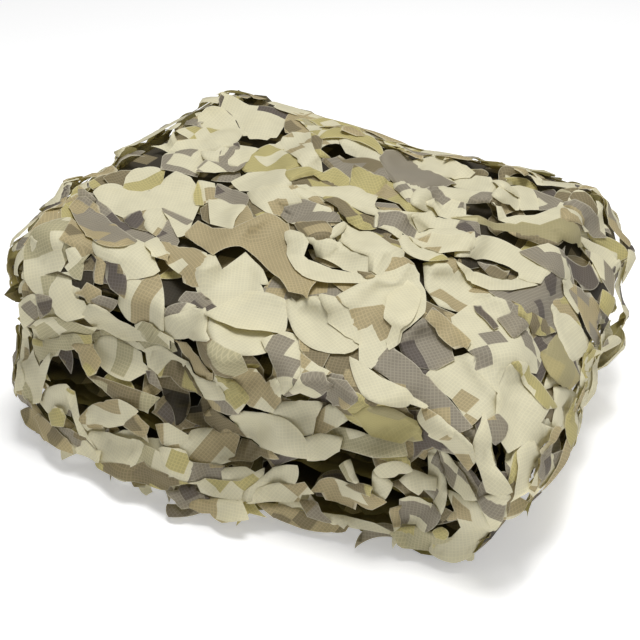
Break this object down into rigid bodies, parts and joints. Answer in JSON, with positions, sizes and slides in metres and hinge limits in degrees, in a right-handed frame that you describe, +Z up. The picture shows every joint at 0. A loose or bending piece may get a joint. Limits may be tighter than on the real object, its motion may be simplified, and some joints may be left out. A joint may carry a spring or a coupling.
{
  "type": "camouflage netting",
  "caption": "Leaf-cut camouflage netting of thin ripstop cloth with a blocky sand, tan and brown print, folded back and forth into a bundle.",
  "frame": {"origin": "bottom centre of the folded bundle, on the surface that it lies on", "axes": "+X along the folded layers towards the end that the outermost layer wraps, +Y from the front edge of the cloth to the back edge, +Z up"},
  "size_m": [0.428, 0.3765, 0.2023],
  "materials": {
    "net_cloth": "thin coated ripstop cloth, matt, printed in blocky cream, tan, taupe and dark brown, olive-yellow on its reverse, pale cut edges"
  },
  "bodies": {
    "root": {"netting": "net_cloth"}
  },
  "joints": []
}
